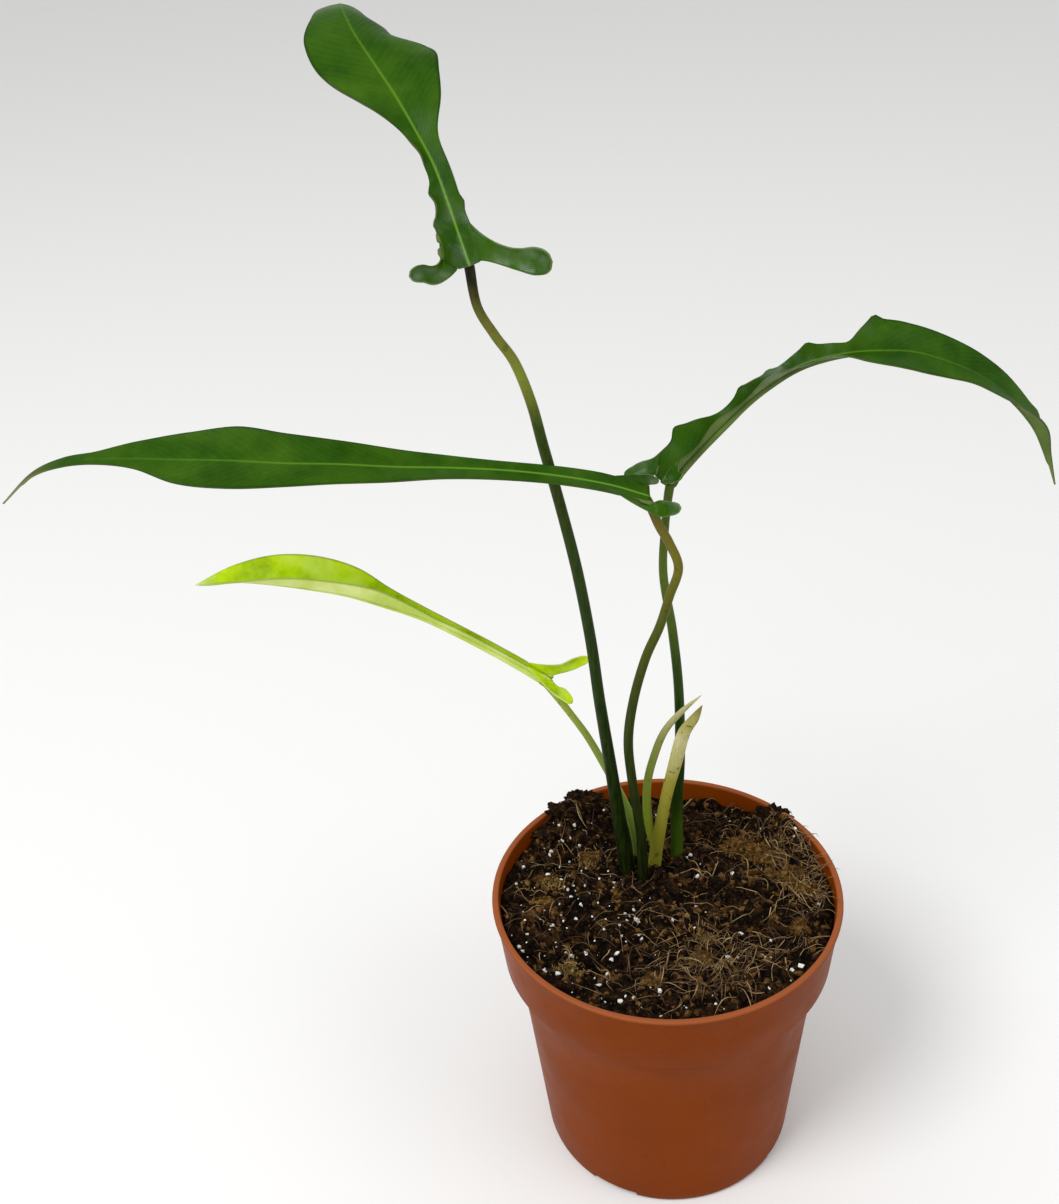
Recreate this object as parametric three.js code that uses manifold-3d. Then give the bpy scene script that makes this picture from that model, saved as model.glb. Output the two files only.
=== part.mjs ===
// A young climbing plant in a round nursery pot: four long leaves that are pinched in below the middle,
// each with two small ears at its base, two new shoots, the soil, and the short stem with its roots below.
// Millimetres, +Z up, +X to the right and +Y to the back. The origin is the centre of the pot's underside.
import * as THREE from "three";
import { mergeVertices } from "three/addons/utils/BufferGeometryUtils.js";
import Module from "manifold-3d";

const wasm = await Module();
wasm.setup();

// Pot
const POT_HEIGHT = 108.8;
const LIP_RADIUS = 60;
const BAND_TOP_RADIUS = 59.4;
const BAND_FOOT_RADIUS = 57;
const BAND_FOOT_HEIGHT = 84.9;
const WALL_TOP_RADIUS = 53.1;
const WALL_FOOT_RADIUS = 45;
const WALL = 1.6;
const FLOOR = 2.2;
const SLOT_LENGTH = 17;
const SLOT_HEIGHT = 2.6;
const SLOT_DEPTH = 9;
const SLOT_ANGLES = [245, 335, 65, 155];

// Soil
const SOIL_LEVEL = 104.5;
const SOIL_SLOPE = 0.045;
const SOIL_EDGE = 56.6;
const MOUNDS = [
  { x: -33, y: 41, height: 7, spread: 11 },
  { x: 44, y: 33, height: 6, spread: 10 },
  { x: 30, y: 2, height: 2, spread: 12 },
  { x: -12, y: -32, height: -3, spread: 8 },
];

// Space kept between neighbours that touch on the real plant
const GAP = 0.3;

// Buried stem and roots
const CROWN = { x: -5, y: 16, z: 82, radius: 11, half: 8 };
const ROOTS = 5;

// Leaf blades
const EDGE_THICKNESS = 0.7;
const RIB_THICKNESS = 0.8;
const HALF_COLUMNS = 3;
const EAR_COLUMNS = 6;

const COLOURS = {
  pot: 0x8a4320,
  soil: 0x2c1e12,
  crown: 0x6b5a35,
  blade: 0x2f6414,
  youngBlade: 0xa3bf2c,
  darkStem: 0x1f3a10,
  oliveStem: 0x4a4a18,
  youngStem: 0x7d9a3c,
  shoot: 0x86ad3a,
  cataphyll: 0xb9a85e,
};

// Number at t (0 to 1) on a smooth line through evenly spaced numbers
function along(values, t) {
  const last = values.length - 1;
  const place = Math.min(Math.max(t, 0), 1) * last;
  const i = Math.min(Math.floor(place), last - 1);
  const f = place - i;
  const b = values[i];
  const c = values[i + 1];
  const a = i > 0 ? values[i - 1] : 2 * b - c;
  const d = i < last - 1 ? values[i + 2] : 2 * c - b;
  const bend = 2 * a - 5 * b + 4 * c - d + f * (3 * (b - c) + d - a);
  return b + 0.5 * f * (c - a + f * bend);
}

function vector(numbers) {
  return new THREE.Vector3(...numbers);
}

function curveThrough(points) {
  return new THREE.CatmullRomCurve3(points.map(vector), false, "catmullrom", 0.5);
}

// Part of a direction that is square to another one
function squareTo(direction, line) {
  return direction.clone().addScaledVector(line, -direction.dot(line)).normalize();
}

function toSolid(geometry) {
  const bare = geometry.clone();
  bare.deleteAttribute("normal");
  bare.deleteAttribute("uv");
  const merged = mergeVertices(bare, 1e-4);
  const vertProperties = new Float32Array(merged.attributes.position.array);
  const triVerts = new Uint32Array(merged.index.array);
  return new wasm.Manifold(new wasm.Mesh({ numProp: 3, vertProperties, triVerts }));
}

function toGeometry(solid) {
  const mesh = solid.getMesh();
  const geometry = new THREE.BufferGeometry();
  geometry.setAttribute("position", new THREE.BufferAttribute(mesh.vertProperties, 3));
  geometry.setIndex(new THREE.BufferAttribute(mesh.triVerts, 1));
  return geometry;
}

function largestBody(solid) {
  return solid.decompose().reduce((best, body) => (body.volume() > best.volume() ? body : best));
}

// Blade surface: a frame on the midrib, and a point at v (-1 left margin to 1 right margin)
function bladeFrame(blade, t) {
  const curve = curveThrough(blade.midrib);
  const forward = curve.getTangent(t);
  const tilt = [0, 1, 2].map((axis) => along(blade.toRight.map((turn) => turn[axis]), t));
  const right = squareTo(vector(tilt), forward);
  return { point: curve.getPoint(t), right, up: right.clone().cross(forward) };
}

function bladePoint(blade, t, v) {
  const frame = bladeFrame(blade, t);
  const half = v < 0 ? blade.left : blade.right;
  const size = Math.abs(v);
  const width = Math.max(along(half.width, t), 0) * size;
  const rise = THREE.MathUtils.degToRad(along(half.rise, t));
  const curl = THREE.MathUtils.degToRad(along(half.curl, t));
  const mean = rise + 0.5 * curl * size;
  const end = rise + curl * size;
  const fade = Math.max(0, Math.min(1, t * 12, (half.wave.until - t) * 12));
  const ripple = half.wave.height * size * size * fade * Math.sin(2 * Math.PI * half.wave.count * t);
  const out = width * Math.cos(mean) + ripple * (0.6 * Math.cos(end) - Math.sin(end));
  const lift = width * Math.sin(mean) + ripple * (0.6 * Math.sin(end) + Math.cos(end));
  return frame.point.addScaledVector(frame.right, Math.sign(v) * out).addScaledVector(frame.up, lift);
}

// Ear of a blade: a small lobe from the margin between two rows, a across its root and b outward
function earPoint(blade, ear, a, b) {
  const first = ear.rows[0] / blade.rows;
  const last = ear.rows[1] / blade.rows;
  const root = bladePoint(blade, first + (last - first) * a, ear.side);
  const middle = bladePoint(blade, (first + last) / 2, ear.side);
  const vein = curveThrough([middle.toArray(), ...ear.vein]);
  const wide = squareTo(vector(ear.across), vein.getTangent(b));
  const lobe = vein.getPoint(b).addScaledVector(wide, Math.max(along(ear.width, b), 0) * (2 * a - 1));
  return root.lerp(lobe, THREE.MathUtils.smoothstep(b, 0, 0.45));
}

// Sheet of triangles that share their corners
function newSheet() {
  return { points: [], thickness: [], faces: [], known: new Map() };
}

function corner(sheet, point, thickness) {
  const key = point.toArray().map((n) => Math.round(n * 1000)).join();
  if (!sheet.known.has(key)) {
    sheet.known.set(key, sheet.points.length);
    sheet.points.push(point);
    sheet.thickness.push(thickness);
  }
  return sheet.known.get(key);
}

function addGrid(sheet, rows, columns, pointAt, thicknessAt, turned) {
  for (let r = 0; r < rows; r++) {
    for (let c = 0; c < columns; c++) {
      const quad = [[r, c], [r, c + 1], [r + 1, c + 1], [r + 1, c]];
      const at = quad.map(([i, j]) => corner(sheet, pointAt(i, j), thicknessAt(i, j)));
      for (const face of [[at[0], at[1], at[2]], [at[0], at[2], at[3]]]) {
        if (new Set(face).size === 3) sheet.faces.push(turned ? face.reverse() : face);
      }
    }
  }
}

// Closed solid of a sheet: its upper side is the sheet, or the clearance above it
function thicken(sheet, clearance) {
  const normals = sheet.points.map(() => new THREE.Vector3());
  const outward = sheet.points.map(() => new THREE.Vector3());
  const edges = new Map();
  for (const face of sheet.faces) {
    const [a, b, c] = face.map((i) => sheet.points[i]);
    const normal = b.clone().sub(a).cross(c.clone().sub(a));
    for (let k = 0; k < 3; k++) {
      const from = face[k];
      const to = face[(k + 1) % 3];
      normals[from].add(normal);
      if (!edges.delete(to + "," + from)) edges.set(from + "," + to, [from, to, normal]);
    }
  }
  for (const [from, to, normal] of edges.values()) {
    const away = sheet.points[to].clone().sub(sheet.points[from]).cross(normal).normalize();
    outward[from].add(away);
    outward[to].add(away);
  }
  const upper = [];
  const lower = [];
  sheet.points.forEach((point, i) => {
    const normal = normals[i].normalize();
    const moved = point.clone().addScaledVector(outward[i].normalize(), clearance);
    upper.push(...moved.clone().addScaledVector(normal, clearance).toArray());
    lower.push(...moved.addScaledVector(normal, -clearance - sheet.thickness[i]).toArray());
  });
  const count = sheet.points.length;
  const index = sheet.faces.flatMap(([a, b, c]) => [a, b, c, c + count, b + count, a + count]);
  for (const [from, to] of edges.values()) {
    index.push(to, from, from + count, to, from + count, to + count);
  }
  const geometry = new THREE.BufferGeometry();
  geometry.setAttribute("position", new THREE.Float32BufferAttribute([...upper, ...lower], 3));
  geometry.setIndex(index);
  return geometry;
}

function bladeGeometry(blade, clearance) {
  const sheet = newSheet();
  const rib = (row) => RIB_THICKNESS * (1 - (0.8 * row) / blade.rows);
  addGrid(
    sheet,
    blade.rows,
    2 * HALF_COLUMNS,
    (row, column) => bladePoint(blade, row / blade.rows, column / HALF_COLUMNS - 1),
    (row, column) => EDGE_THICKNESS + (column === HALF_COLUMNS ? rib(row) : 0),
    false,
  );
  for (const ear of blade.ears) {
    const span = ear.rows[1] - ear.rows[0];
    const pointAt = (row, column) => earPoint(blade, ear, row / span, column / EAR_COLUMNS);
    addGrid(sheet, span, EAR_COLUMNS, pointAt, () => EDGE_THICKNESS, ear.side < 0);
  }
  return thicken(sheet, clearance);
}

// Round or oval stem along its points: a cylinder bent to the line and tapered
function stemGeometry(stem, clearance) {
  const curve = curveThrough(stem.points);
  const geometry = new THREE.CylinderGeometry(1, 1, 1, stem.sides ?? 8, stem.rings);
  const position = geometry.attributes.position;
  const wide = vector(stem.wide ?? [1, 0, 0]);
  for (let i = 0; i < position.count; i++) {
    const share = Math.round((position.getY(i) + 0.5) * stem.rings) / stem.rings;
    const forward = curve.getTangent(share);
    const side = squareTo(wide, forward);
    const depth = side.clone().cross(forward);
    const radius = along(stem.radius, share);
    const point = curve.getPoint(share);
    point.addScaledVector(side, position.getX(i) * (radius + clearance));
    point.addScaledVector(depth, position.getZ(i) * (radius * (stem.flat ?? 1) + clearance));
    position.setXYZ(i, point.x, point.y, point.z);
  }
  return geometry;
}

// Pot: wall, rolled lip and floor turned round the axis, with four drain slots at the foot
function potProfile() {
  const innerFoot = WALL_FOOT_RADIUS - WALL + 0.2;
  const profile = [
    [0, 0],
    [WALL_FOOT_RADIUS - 1.5, 0],
    [WALL_FOOT_RADIUS, 1.5],
    [WALL_TOP_RADIUS, BAND_FOOT_HEIGHT - 0.6],
    [BAND_FOOT_RADIUS - 0.3, BAND_FOOT_HEIGHT],
    [BAND_FOOT_RADIUS, BAND_FOOT_HEIGHT + 0.5],
    [BAND_TOP_RADIUS, POT_HEIGHT - 1.7],
    [LIP_RADIUS, POT_HEIGHT - 1.3],
    [LIP_RADIUS, POT_HEIGHT - 0.4],
    [LIP_RADIUS - 0.5, POT_HEIGHT],
    [LIP_RADIUS - 1.7, POT_HEIGHT],
    [LIP_RADIUS - 2.2, POT_HEIGHT - 0.5],
    [BAND_FOOT_RADIUS - WALL, BAND_FOOT_HEIGHT + 1],
    [WALL_TOP_RADIUS - WALL, BAND_FOOT_HEIGHT - 1.8],
    [innerFoot, FLOOR],
    [0, FLOOR],
  ];
  return profile.map(([x, y]) => new THREE.Vector2(x, y));
}

function upright(geometry) {
  return geometry.rotateX(Math.PI / 2);
}

function potGeometry() {
  let body = toSolid(upright(new THREE.LatheGeometry(potProfile(), 64)));
  for (const angle of SLOT_ANGLES) {
    const slot = new THREE.BoxGeometry(SLOT_DEPTH, SLOT_LENGTH, SLOT_HEIGHT + 1);
    slot.translate(WALL_FOOT_RADIUS - 1.5, 0, (SLOT_HEIGHT - 1) / 2);
    slot.rotateZ(THREE.MathUtils.degToRad(angle));
    body = body.subtract(toSolid(slot));
  }
  return toGeometry(body);
}

// Soil: a filling that follows the pot's inside, with an uneven top
function soilHeight(x, y) {
  let height = SOIL_LEVEL - SOIL_SLOPE * y;
  for (const mound of MOUNDS) {
    const away = ((x - mound.x) ** 2 + (y - mound.y) ** 2) / mound.spread ** 2;
    height += mound.height * Math.exp(-away);
  }
  const coarse = Math.sin(0.21 * x + 1.3) * Math.cos(0.17 * y - 0.4);
  const crumbs = Math.sin(0.53 * x - 0.6 * y) * Math.cos(0.47 * y + 0.31 * x);
  return height + 0.8 * coarse + 0.6 * crumbs;
}

function soilGeometry() {
  const side = [
    [0, FLOOR + GAP],
    [WALL_FOOT_RADIUS - WALL - 0.2, FLOOR + GAP],
    [WALL_TOP_RADIUS - WALL - GAP - 0.1, BAND_FOOT_HEIGHT - 1.6],
    [BAND_FOOT_RADIUS - WALL - GAP - 0.1, BAND_FOOT_HEIGHT + 1.1],
  ];
  const rings = 9;
  const top = [];
  for (let ring = rings; ring >= 0; ring--) {
    top.push([(SOIL_EDGE * ring) / rings, SOIL_LEVEL]);
  }
  const points = [...side, ...top].map(([x, y]) => new THREE.Vector2(x, y));
  const geometry = upright(new THREE.LatheGeometry(points, 48));
  const position = geometry.attributes.position;
  for (let i = 0; i < position.count; i++) {
    if (i % points.length >= side.length) {
      position.setZ(i, soilHeight(position.getX(i), position.getY(i)));
    }
  }
  return geometry;
}

// Buried stem with its roots, all as one body
function crownSolid(clearance) {
  const ball = new THREE.SphereGeometry(1, 20, 10);
  ball.scale(CROWN.radius + clearance, CROWN.radius + clearance, CROWN.half + clearance);
  ball.translate(CROWN.x, CROWN.y, CROWN.z);
  let body = toSolid(ball);
  for (let k = 0; k < ROOTS; k++) {
    const angle = (2 * Math.PI * (k + 0.3)) / ROOTS;
    const points = [[4, -2], [12, -16], [16, -36], [24, -58]].map(([reach, drop], i) => [
      CROWN.x + reach * Math.cos(angle + 0.2 * i),
      CROWN.y - 3 * i + reach * Math.sin(angle + 0.2 * i),
      CROWN.z + drop,
    ]);
    const root = { points, radius: [2, 1.8, 1.4, 0.9], rings: 10, sides: 6 };
    body = body.add(toSolid(stemGeometry(root, clearance)));
  }
  return body;
}

// Stems: leaf stalks from the crown up to each blade
const STALKS = [
  {
    name: "petiole_1",
    colour: COLOURS.darkStem,
    points: [
      [-12, 14.5, 84], [-13.5, 14.5, 105], [-16, 12.5, 130], [-18.5, 10.5, 156], [-21, 8, 182],
      [-23, 5, 208], [-26, 1, 235], [-29.8, -2, 258.5], [-33.6, -4.5, 278.8], [-36, -8, 294],
      [-39.5, -11, 307], [-44, -13, 315.5], [-48, -14, 324], [-48.7, -15, 334.5],
    ],
    radius: [3, 2.9, 2.4, 2.1, 1.9, 1.8, 1.75, 1.65, 1.6, 1.5, 1.4, 1.3, 1.25, 1.4],
    rings: 34,
  },
  {
    name: "petiole_2",
    colour: COLOURS.oliveStem,
    points: [
      [-7, 10, 84], [-8, 10, 102], [-8.5, 9, 125], [-11, 8, 149], [-12, 7, 167], [-10, 6, 184],
      [-6, 4, 201.5], [-1.5, 3, 214], [1.5, 2, 225.5], [4.2, 1, 236], [1.5, 1, 244.5],
      [-1.5, 1, 250.5], [-4, 2, 258.5],
    ],
    radius: [1.9, 1.9, 1.7, 1.6, 1.6, 1.55, 1.5, 1.45, 1.4, 1.4, 1.4, 1.4, 1.4],
    rings: 40,
  },
  {
    name: "petiole_3",
    colour: COLOURS.darkStem,
    points: [
      [3, 22, 84], [4, 24, 103], [4, 22, 127], [5, 20, 153], [4.5, 18, 180], [2.5, 16, 204],
      [-0.3, 14, 226], [0.3, 12.5, 244], [0.7, 12, 257],
    ],
    radius: [2.3, 2.3, 2.1, 1.8, 1.6, 1.5, 1.35, 1.25, 1.3],
    rings: 30,
  },
  {
    name: "petiole_4",
    colour: COLOURS.youngStem,
    points: [
      [-9.5, 20, 84], [-9.8, 20.5, 102], [-11, 19.8, 118], [-15, 19, 133], [-20.5, 18.5, 147],
      [-26, 18, 160], [-32, 17, 171.5], [-37.5, 16, 183],
    ],
    radius: [1.4, 1.5, 1.8, 1.4, 1.3, 1.25, 1.2, 1.2],
    rings: 26,
  },
];

// New growth: a straw-coloured sheath leaf, and the green shoot that stands against it
const CATAPHYLL = {
  name: "cataphyll",
  colour: COLOURS.cataphyll,
  points: [
    [-3.5, 16.5, 84], [-4, 17, 102.5], [-2, 15.5, 121.5], [0.5, 14, 138.5], [3.5, 12, 154.5],
    [6, 10, 167.5], [9.5, 8, 175.5], [12, 7, 181.5],
  ],
  radius: [2.7, 2.7, 2.5, 2.2, 2.4, 2.1, 1.6, 0.5],
  flat: 0.55,
  rings: 24,
};
const NEW_SHOOT = {
  name: "new_shoot",
  colour: COLOURS.shoot,
  points: [
    [-3.5, 17.5, 110], [-6, 16.5, 126], [-6, 15.5, 142], [-3.5, 14, 155.5], [0, 13, 166.5],
    [5.5, 12, 175.2], [11.8, 11, 182.5],
  ],
  radius: [1.5, 1.5, 1.35, 1.3, 1.2, 1, 0.4],
  flat: 0.6,
  rings: 24,
};

const STILL = { height: 0, count: 0, until: 1 };

// Blades: midrib points from base to tip, the way to the right margin, and for each half its width,
// its rise from flat at the midrib and the further curl to the margin, in degrees, base to tip
const BLADES = [
  {
    name: "blade_1",
    colour: COLOURS.blade,
    stalk: "petiole_1",
    rows: 40,
    midrib: [
      [-49, -15, 335], [-51.5, -12, 342], [-54.5, -8, 350], [-58, -3, 358], [-63, 3, 365.5],
      [-68.5, 10, 372.5], [-74.5, 17, 379.2], [-80.5, 25, 385.5], [-84.5, 34, 389.5], [-87.5, 45, 389.5],
      [-91.5, 56, 385], [-94.5, 66, 375], [-97, 72, 363],
    ],
    toRight: [[1, 0.25, 0.1], [1, 0.25, 0.1], [1, 0.2, 0.15], [1, 0.2, 0.3]],
    left: {
      width: [3.2, 6.3, 3.4, 2.8, 3.8, 9.6, 14.4, 13.6, 8.6, 5.6, 4, 2.2, 0],
      rise: [30, 20, 10, 5],
      curl: [10, 5, -15, -20],
      wave: { height: 1.1, count: 8, until: 0.42 },
    },
    right: {
      width: [3.2, 4.1, 3.7, 3.8, 6.2, 13, 16, 10, 7, 5.5, 4.5, 2, 0],
      rise: [35, 30, 10, -15, -15, 0],
      curl: [10, 0, -10, -30, -35, -20],
      wave: { height: 0.6, count: 6, until: 0.42 },
    },
    ears: [
      {
        side: -1,
        rows: [0, 4],
        vein: [[-54, -17, 335.5], [-57, -21, 335], [-59.5, -24, 336.5], [-62.5, -26, 336.5]],
        across: [-0.3, 0.25, 0.9],
        width: [2.5, 1.8, 2.2, 2, 0],
      },
      {
        side: 1,
        rows: [0, 4],
        vein: [[-42, -18, 339], [-36, -20, 338], [-31, -22, 338], [-27.5, -24, 338.5]],
        across: [-0.3, 0.25, 0.9],
        width: [3, 1.9, 2.6, 3.2, 0],
      },
    ],
  },
  {
    name: "blade_2",
    colour: COLOURS.blade,
    stalk: "petiole_2",
    rows: 48,
    midrib: [
      [-4, 2, 259.5], [-15.5, -3, 266], [-29, -9, 272], [-43.5, -14, 276.5], [-58.5, -18, 279.5],
      [-73, -21, 281.5], [-87.5, -24, 284], [-102, -26, 285.5], [-116, -28, 287.5],
      [-129.5, -29, 288.5], [-141.5, -30, 289.5], [-152, -31, 290], [-162, -31, 289],
      [-171.5, -31, 285.5], [-181.5, -31, 277],
    ],
    toRight: [[0, 1, 0.3], [0, 1, 0.3]],
    left: {
      width: [4, 3.6, 3.4, 3.8, 4.5, 6, 7.5, 9, 10.5, 8.8, 3.6, 1.7, 1.4, 1, 0],
      rise: [12, 8, 4, 0],
      curl: [0, -5, -10, 0],
      wave: { height: 0.4, count: 4, until: 0.8 },
    },
    right: {
      width: [3.6, 3.2, 3.2, 3.7, 5, 6.4, 8.3, 11.4, 14, 11, 6.5, 3.2, 2.2, 1, 0],
      rise: [12, 8, 6, 0],
      curl: [0, -5, -10, 0],
      wave: { height: 0.4, count: 3, until: 0.8 },
    },
    ears: [
      {
        side: -1,
        rows: [0, 3],
        vein: [[-3.5, -2, 258.5], [-1, -4.5, 259], [1.5, -6.5, 260], [4.5, -8, 261]],
        across: [0, -0.5, -0.8],
        width: [2.4, 2, 2.2, 1.8, 0],
      },
      {
        side: 1,
        rows: [0, 3],
        vein: [[-4.5, 7, 262.5], [-3, 7.5, 262], [-1.5, 8, 261.5]],
        across: [0, 0.5, 0.8],
        width: [2, 1.5, 1, 0],
      },
    ],
  },
  {
    name: "blade_3",
    colour: COLOURS.blade,
    stalk: "petiole_3",
    rows: 44,
    midrib: [
      [0.5, 12, 258], [5.5, 14, 263.5], [11, 16, 269], [17, 18, 274.5], [23.5, 20, 280.5],
      [30, 22, 285], [37.5, 24, 289], [45, 26, 291], [54, 28, 292], [63, 29, 292],
      [72.5, 30, 291], [82.5, 31, 287.5], [92, 31, 283], [101, 30, 276.5], [109, 29, 267.5],
      [113.5, 28, 258.5], [117.5, 28, 248.5],
    ],
    toRight: [[0, -1, -0.2], [0, -1, -0.3], [0, -1, -0.4], [0, -1, -0.4], [0, -1, -0.3]],
    left: {
      width: [4, 7.5, 7.5, 4, 3.4, 3.2, 3.4, 4.4, 5, 9.5, 8.6, 8.2, 7.6, 7, 6, 3.4, 0],
      rise: [45, 60, 50, 25, 10, 10],
      curl: [0, 0, 0, 0, 0, 0],
      wave: { height: 0.9, count: 8, until: 0.6 },
    },
    right: {
      width: [3.5, 4, 3, 3, 3, 3.4, 4, 4.5, 5.5, 8, 8.3, 6.4, 4.6, 4.8, 4.2, 1.6, 0],
      rise: [50, 60, 50, 10, -5, -5],
      curl: [0, 0, 0, 0, -10, -10],
      wave: { height: 0.7, count: 7, until: 0.6 },
    },
    ears: [
      {
        side: -1,
        rows: [0, 3],
        vein: [[-3, 16.5, 262], [-6, 17.5, 261], [-9, 18, 259.5], [-12, 18.5, 258]],
        across: [0.2, 0.4, 0.9],
        width: [3, 2.2, 2, 1.6, 0],
      },
      {
        side: 1,
        rows: [0, 3],
        vein: [[3, 8.5, 262.5], [4, 6.5, 263.5], [5, 5, 264.5]],
        across: [0.6, 0, 0.7],
        width: [2.5, 2, 1.5, 0],
      },
    ],
  },
  {
    name: "blade_4",
    colour: COLOURS.youngBlade,
    stalk: "petiole_4",
    rows: 34,
    midrib: [
      [-37.5, 16, 184], [-47, 16, 191], [-57, 15, 198.5], [-67, 14, 205.5], [-77.5, 13, 212],
      [-88.5, 12, 217], [-99.5, 11, 221.5], [-111, 10, 224.5], [-122.5, 8, 227.5],
      [-133.5, 6, 229.5], [-145.5, 4, 229.5],
    ],
    toRight: [[0, 1, 0.2], [0, 1, 0.2]],
    left: {
      width: [2, 2, 2, 2.2, 2.8, 4.2, 5.6, 6.2, 6, 4, 0],
      rise: [50, 45, 45, 40, 20],
      curl: [30, 50, 60, 50, 0],
      wave: STILL,
    },
    right: {
      width: [2, 1.9, 2, 2.2, 3, 5.5, 9, 10.2, 8.8, 5, 0],
      rise: [50, 45, 50, 50, 40],
      curl: [30, 50, 20, 10, 0],
      wave: STILL,
    },
    ears: [
      {
        side: -1,
        rows: [0, 3],
        vein: [[-36, 12.5, 184], [-33, 11, 183], [-30, 9.5, 180.5]],
        across: [-0.5, -0.8, -0.3],
        width: [1.6, 1.5, 1.8, 0],
      },
      {
        side: 1,
        rows: [0, 3],
        vein: [[-36, 18.5, 187], [-32.5, 20, 187], [-28.5, 21.5, 188], [-24.5, 23, 188.5]],
        across: [0, 0.3, 0.9],
        width: [1.6, 1.2, 1.5, 1.6, 0],
      },
    ],
  },
];

function addPiece(group, name, geometry, colour, roughness) {
  const material = new THREE.MeshStandardMaterial({ color: colour, roughness, metalness: 0 });
  const mesh = new THREE.Mesh(geometry, material);
  mesh.name = name;
  group.add(mesh);
}

// Everything that stands in the soil, each with its lower end seated on the crown
function buildPlant(group) {
  const stalks = [...STALKS, CATAPHYLL];
  let hollow = crownSolid(GAP);
  for (const stalk of stalks) hollow = hollow.add(toSolid(stemGeometry(stalk, GAP)));
  const soil = largestBody(toSolid(soilGeometry()).subtract(hollow));
  addPiece(group, "soil", toGeometry(soil), COLOURS.soil, 0.95);
  addPiece(group, "crown_and_roots", toGeometry(crownSolid(0)), COLOURS.crown, 0.85);
  for (const stalk of stalks) {
    let body = toSolid(stemGeometry(stalk, 0)).subtract(crownSolid(GAP));
    const blade = BLADES.find((one) => one.stalk === stalk.name);
    if (blade) body = body.subtract(toSolid(bladeGeometry(blade, GAP)));
    addPiece(group, stalk.name, toGeometry(largestBody(body)), stalk.colour, 0.5);
  }
  const sheath = toSolid(stemGeometry(CATAPHYLL, GAP));
  const shoot = largestBody(toSolid(stemGeometry(NEW_SHOOT, 0)).subtract(sheath));
  addPiece(group, NEW_SHOOT.name, toGeometry(shoot), NEW_SHOOT.colour, 0.5);
  for (const blade of BLADES) {
    addPiece(group, blade.name, bladeGeometry(blade, 0), blade.colour, 0.4);
  }
}

const plant = new THREE.Group();
addPiece(plant, "pot", potGeometry(), COLOURS.pot, 0.45);
buildPlant(plant);

export default plant;
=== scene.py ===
import math
import random

import bmesh
import bpy
from bpy.props import FloatProperty, FloatVectorProperty, IntProperty, PointerProperty
from mathutils import Matrix, Vector, noise


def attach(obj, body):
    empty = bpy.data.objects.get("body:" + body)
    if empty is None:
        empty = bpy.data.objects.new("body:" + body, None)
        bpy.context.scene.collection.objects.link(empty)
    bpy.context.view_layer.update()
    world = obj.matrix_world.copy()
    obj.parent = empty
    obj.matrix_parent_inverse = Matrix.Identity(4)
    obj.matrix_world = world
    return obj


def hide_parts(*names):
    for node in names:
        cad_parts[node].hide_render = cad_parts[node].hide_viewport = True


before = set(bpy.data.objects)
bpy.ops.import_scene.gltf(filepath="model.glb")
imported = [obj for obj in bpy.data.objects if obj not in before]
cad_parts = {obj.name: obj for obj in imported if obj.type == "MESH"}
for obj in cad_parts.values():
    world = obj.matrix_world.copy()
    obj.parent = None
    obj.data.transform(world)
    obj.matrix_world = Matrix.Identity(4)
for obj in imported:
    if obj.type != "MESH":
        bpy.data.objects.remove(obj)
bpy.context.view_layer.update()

bl_info = {
    "name": "Potted climbing plant",
    "version": (1, 0, 0),
    "blender": (4, 5, 0),
    "location": "3D View > Sidebar > Plant",
    "description": "A young leafy plant with long pinched leaves in a round nursery pot",
    "category": "Add Mesh",
}

MM = 0.001


def tone(red, green, blue):
    """Scene colour of a screen colour given as three numbers up to 255."""
    parts = [part / 255 for part in (red, green, blue)]
    return tuple(p / 12.92 if p <= 0.04045 else ((p + 0.055) / 1.055) ** 2.4 for p in parts)


# Settings


class PotSizes(bpy.types.PropertyGroup):
    height: FloatProperty(
        name="Height", description="Height of the pot", default=0.1088, unit="LENGTH"
    )
    lip_radius: FloatProperty(
        name="Lip radius", description="Outer radius of the rolled lip", default=0.060, unit="LENGTH"
    )
    foot_radius: FloatProperty(
        name="Foot radius", description="Outer radius at the underside", default=0.045, unit="LENGTH"
    )
    wall: FloatProperty(name="Wall", description="Thickness of the wall", default=0.0016, unit="LENGTH")
    slot_width: FloatProperty(
        name="Slot width", description="Width of a drain slot", default=0.017, unit="LENGTH"
    )


class SoilAmounts(bpy.types.PropertyGroup):
    crumbs: IntProperty(name="Crumbs", description="Loose soil crumbs", default=5200, min=0)
    perlite: IntProperty(name="Perlite", description="White grains in the soil", default=230, min=0)
    fibres: IntProperty(name="Fibres", description="Thin dry fibres", default=760, min=0)
    tufts: IntProperty(name="Moss tufts", description="Tufts in each patch of moss", default=150, min=0)


def colour(name, description, value):
    return FloatVectorProperty(
        name=name, description=description, default=tone(*value), subtype="COLOR", size=3, min=0, max=1
    )


class PlantColours(bpy.types.PropertyGroup):
    pot: colour("Pot", "Reddish-brown plastic", (122, 52, 0))
    leaf: colour("Leaf", "Upper side of a grown leaf", (43, 80, 6))
    leaf_dark: colour("Leaf, dark", "Darker patches of a grown leaf", (28, 64, 3))
    leaf_light: colour("Leaf, light", "Lighter patches of a grown leaf", (58, 94, 14))
    leaf_rib: colour("Midrib", "Pale line along the leaf", (104, 152, 44))
    leaf_under: colour("Leaf, under", "Underside of a grown leaf", (92, 112, 56))
    young_leaf: colour("Young leaf", "Upper side of the youngest leaf", (188, 220, 14))
    young_under: colour("Young leaf, under", "Underside of the youngest leaf", (198, 218, 104))
    soil: colour("Soil", "Peat and fibre", (56, 38, 24))
    straw: colour("Sheath", "Straw-yellow sheath leaf", (164, 152, 72))
    floor: colour("Floor", "Pale ground", (243, 243, 242))


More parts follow.
